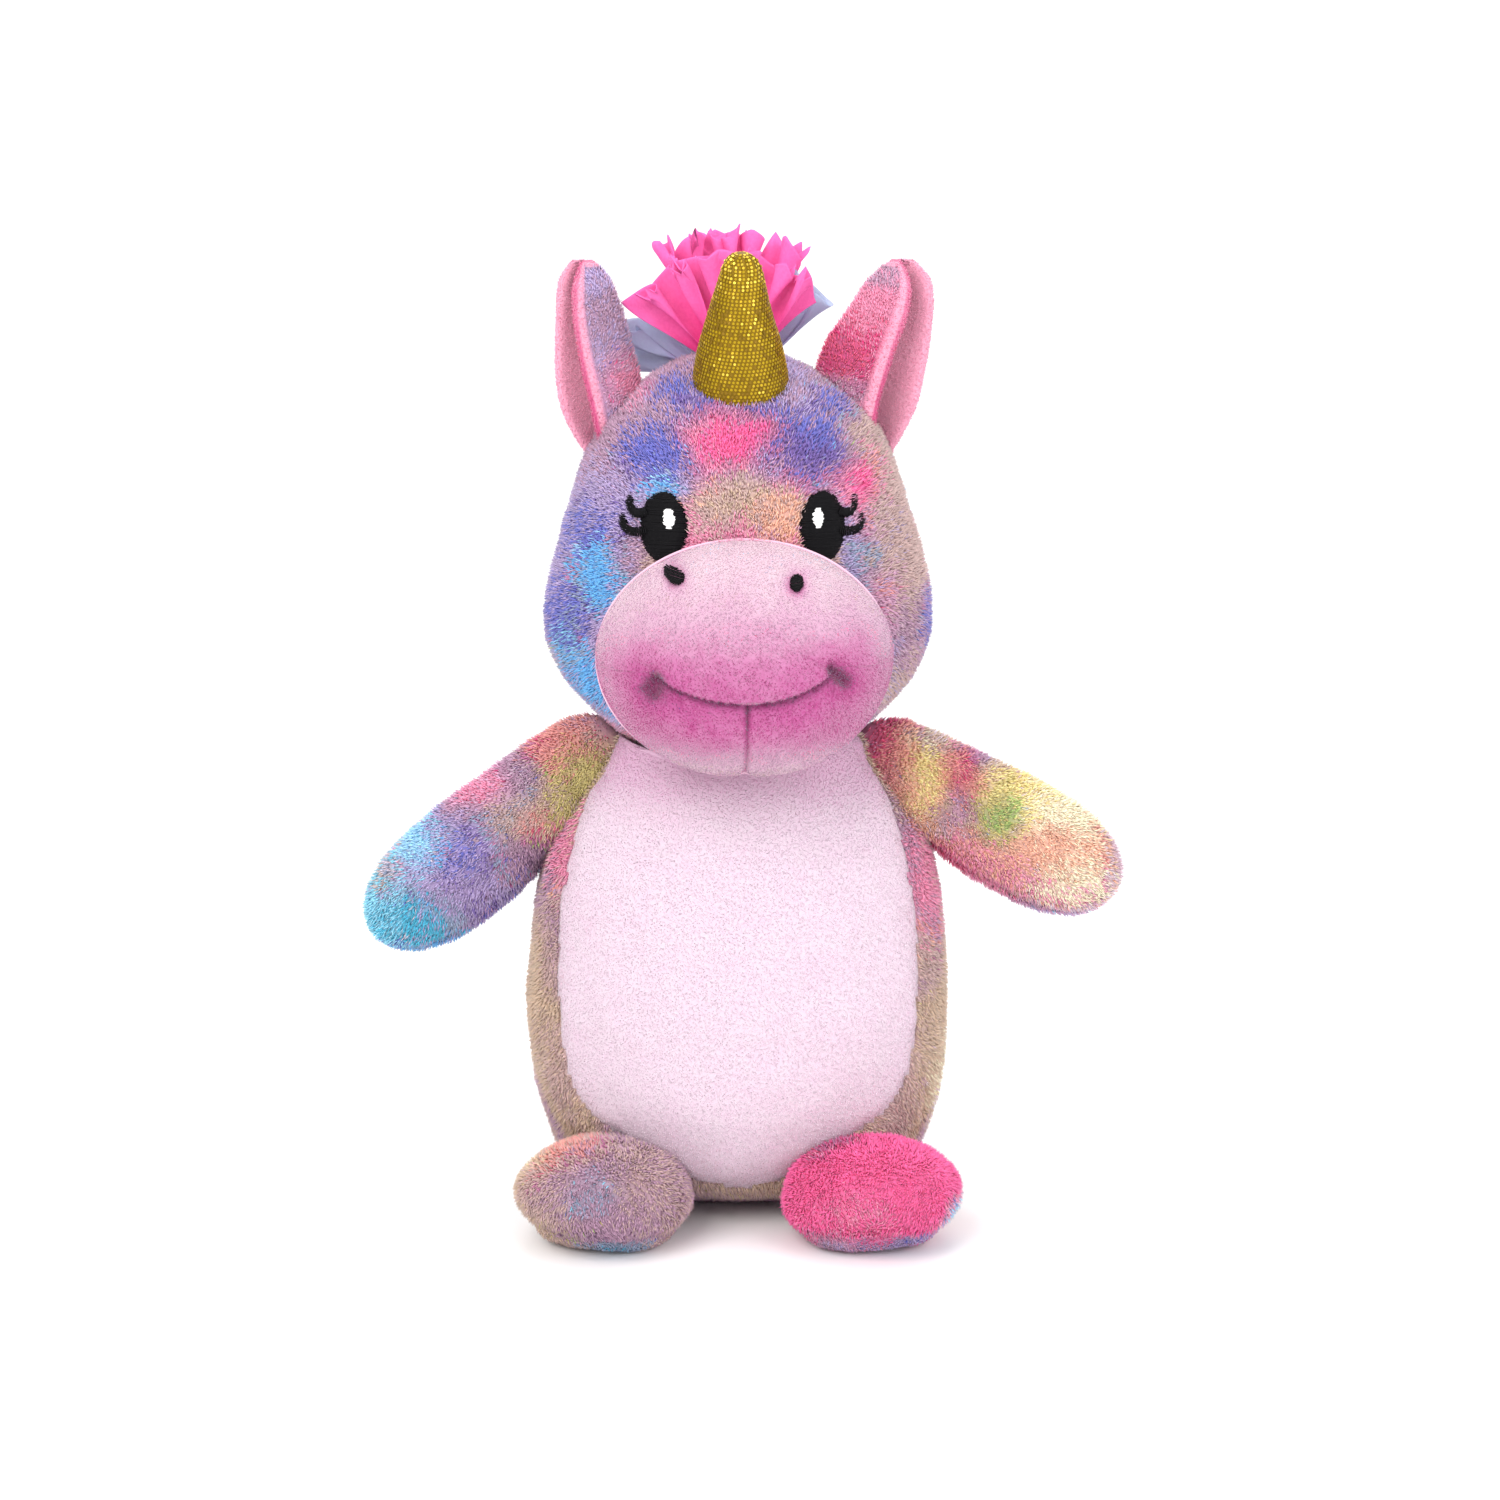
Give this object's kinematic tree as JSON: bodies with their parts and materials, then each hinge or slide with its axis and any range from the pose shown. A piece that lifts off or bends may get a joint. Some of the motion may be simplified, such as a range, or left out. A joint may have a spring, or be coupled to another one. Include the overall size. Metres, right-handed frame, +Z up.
{
  "type": "plush unicorn",
  "caption": "Sitting plush unicorn with an oval muzzle, folded ears, stuffed gold horn, tulle mane and a plain belly panel; head, arms, feet and ears flex at their seams.",
  "frame": {"origin": "on the flat seat panel, under the neck, on the surface that the toy sits on", "axes": "+Z up through the head, -Y the way the face looks, +X towards the toy's left-hand side as the viewer sees it on the right"},
  "size_m": [0.2832, 0.1801, 0.366],
  "materials": {
    "tie_dye_plush": "short-pile plush with a mottled tie-dye print in mauve, pink, purple, blue, peach and yellow",
    "belly_velour": "smooth pale pink velour",
    "muzzle_velour": "smooth mid pink velour",
    "ear_velour": "smooth deep pink velour",
    "gold_lame": "gold foil-dot lame",
    "tulle_pink": "hot pink tulle",
    "tulle_lilac": "lilac tulle",
    "black_thread": "black satin stitch in rayon thread",
    "white_thread": "white satin stitch in rayon thread",
    "seam_thread": "mauve sewing thread",
    "stuffing": "white polyester fibre",
    "pouch_cloth": "white cotton pouch with plastic pellets",
    "label_satin": "blank white satin ribbon",
    "zip_tape": "mauve woven zip tape",
    "zip_coil": "mauve nylon coil",
    "zip_metal": "lacquered mauve slider"
  },
  "bodies": {
    "torso": {"belly_panel": "belly_velour", "back_panel_left": "tie_dye_plush", "back_panel_right": "tie_dye_plush", "seat_panel": "tie_dye_plush", "body_stuffing": "stuffing", "weight_pouch": "pouch_cloth", "zip_tape_upper": "zip_tape", "zip_tape_lower": "zip_tape", "zip_coil_upper": "zip_coil", "zip_coil_lower": "zip_coil", "care_label": "label_satin"},
    "neck_seam": {"neck_seam": "seam_thread"},
    "head": {"face_panel": "tie_dye_plush", "head_back_panel_left": "tie_dye_plush", "head_back_panel_right": "tie_dye_plush", "head_stuffing": "stuffing", "muzzle_panel": "muzzle_velour", "chin_panel_left": "muzzle_velour", "chin_panel_right": "muzzle_velour", "muzzle_stuffing": "stuffing", "eye_left": "black_thread", "eye_left_highlight": "white_thread", "lash_left_upper": "black_thread", "lash_left_lower": "black_thread", "nostril_left": "black_thread", "eye_right": "black_thread", "eye_right_highlight": "white_thread", "lash_right_upper": "black_thread", "lash_right_lower": "black_thread", "nostril_right": "black_thread"},
    "horn": {"horn_cover": "gold_lame", "horn_stuffing": "stuffing"},
    "ear_left": {"ear_left_outer": "tie_dye_plush", "ear_left_lining": "ear_velour"},
    "ear_right": {"ear_right_outer": "tie_dye_plush", "ear_right_lining": "ear_velour"},
    "mane": {"mane_tulle_front": "tulle_pink", "mane_tulle_middle": "tulle_pink", "mane_tulle_back": "tulle_lilac"},
    "arm_left_seam": {"arm_left_seam": "seam_thread"},
    "arm_left": {"arm_left_front_panel": "tie_dye_plush", "arm_left_back_panel": "tie_dye_plush", "arm_left_stuffing": "stuffing"},
    "arm_right_seam": {"arm_right_seam": "seam_thread"},
    "arm_right": {"arm_right_front_panel": "tie_dye_plush", "arm_right_back_panel": "tie_dye_plush", "arm_right_stuffing": "stuffing"},
    "foot_left": {"foot_left_top_panel": "tie_dye_plush", "foot_left_sole_panel": "tie_dye_plush", "foot_left_stuffing": "stuffing"},
    "foot_right": {"foot_right_top_panel": "tie_dye_plush", "foot_right_sole_panel": "tie_dye_plush", "foot_right_stuffing": "stuffing"},
    "tail": {"tail_tulle_pink": "tulle_pink", "tail_tulle_lilac": "tulle_lilac"},
    "zip_slider": {"zip_slider": "zip_metal"},
    "zip_pull": {"zip_pull": "zip_metal"}
  },
  "joints": [
    {"name": "neck_turn", "type": "hinge", "parent": "torso", "child": "neck_seam", "pos_m": [0, 0, 0.236], "axis": [0, 0, 1], "range_deg": [-25, 25], "stiffness_Nm_per_rad": 0.35},
    {"name": "neck_nod", "type": "hinge", "parent": "neck_seam", "child": "head", "pos_m": [0, 0, 0.236], "axis": [0.9991, 0.0419, 0], "range_deg": [-12, 5], "stiffness_Nm_per_rad": 0.6},
    {"name": "horn_wobble", "type": "hinge", "parent": "head", "child": "horn", "pos_m": [0.00101, -0.02398, 0.302], "axis": [0.9991, 0.0419, 0], "range_deg": [-10, 10], "stiffness_Nm_per_rad": 0.03},
    {"name": "ear_left_flop", "type": "hinge", "parent": "head", "child": "ear_left", "pos_m": [-0.04621, 0.00407, 0.293], "axis": [0.9991, 0.0419, 0], "range_deg": [-20, 20], "stiffness_Nm_per_rad": 0.03},
    {"name": "ear_right_flop", "type": "hinge", "parent": "head", "child": "ear_right", "pos_m": [0.04571, 0.00792, 0.293], "axis": [0.9991, 0.0419, 0], "range_deg": [-20, 20], "stiffness_Nm_per_rad": 0.03},
    {"name": "mane_sway", "type": "hinge", "parent": "head", "child": "mane", "pos_m": [-0.00042, 0.00999, 0.312], "axis": [0.9991, 0.0419, 0], "range_deg": [-15, 15], "stiffness_Nm_per_rad": 0.02},
    {"name": "arm_left_swing", "type": "hinge", "parent": "torso", "child": "arm_left_seam", "pos_m": [-0.0615, 0.002, 0.163], "axis": [0, 0, 1], "range_deg": [-15, 25], "stiffness_Nm_per_rad": 0.15},
    {"name": "arm_left_raise", "type": "hinge", "parent": "arm_left_seam", "child": "arm_left", "pos_m": [-0.0615, 0.002, 0.163], "axis": [0, 1, 0], "range_deg": [0, 60], "stiffness_Nm_per_rad": 0.15},
    {"name": "arm_right_swing", "type": "hinge", "parent": "torso", "child": "arm_right_seam", "pos_m": [0.0615, 0.002, 0.163], "axis": [0, 0, -1], "range_deg": [-15, 25], "stiffness_Nm_per_rad": 0.15},
    {"name": "arm_right_raise", "type": "hinge", "parent": "arm_right_seam", "child": "arm_right", "pos_m": [0.0615, 0.002, 0.163], "axis": [0, -1, 0], "range_deg": [0, 60], "stiffness_Nm_per_rad": 0.15},
    {"name": "foot_left_lift", "type": "hinge", "parent": "torso", "child": "foot_left", "pos_m": [0, -0.033, 0.009], "axis": [-1, 0, 0], "range_deg": [0, 25], "stiffness_Nm_per_rad": 0.08},
    {"name": "foot_right_lift", "type": "hinge", "parent": "torso", "child": "foot_right", "pos_m": [0, -0.033, 0.009], "axis": [-1, 0, 0], "range_deg": [0, 25], "stiffness_Nm_per_rad": 0.08},
    {"name": "tail_lift", "type": "hinge", "parent": "torso", "child": "tail", "pos_m": [0, 0.06, 0.078], "axis": [1, 0, 0], "range_deg": [0, 30], "stiffness_Nm_per_rad": 0.02},
    {"name": "zip_slider_run", "type": "hinge", "parent": "torso", "child": "zip_slider", "pos_m": [0, -0.034, 0.014], "axis": [0, 0, -1], "range_deg": [0, 58]},
    {"name": "zip_pull_flip", "type": "hinge", "parent": "zip_slider", "child": "zip_pull", "pos_m": [-0.04663, 0.04842, 0.014], "axis": [0, 0, 1], "range_deg": [0, 80]}
  ]
}
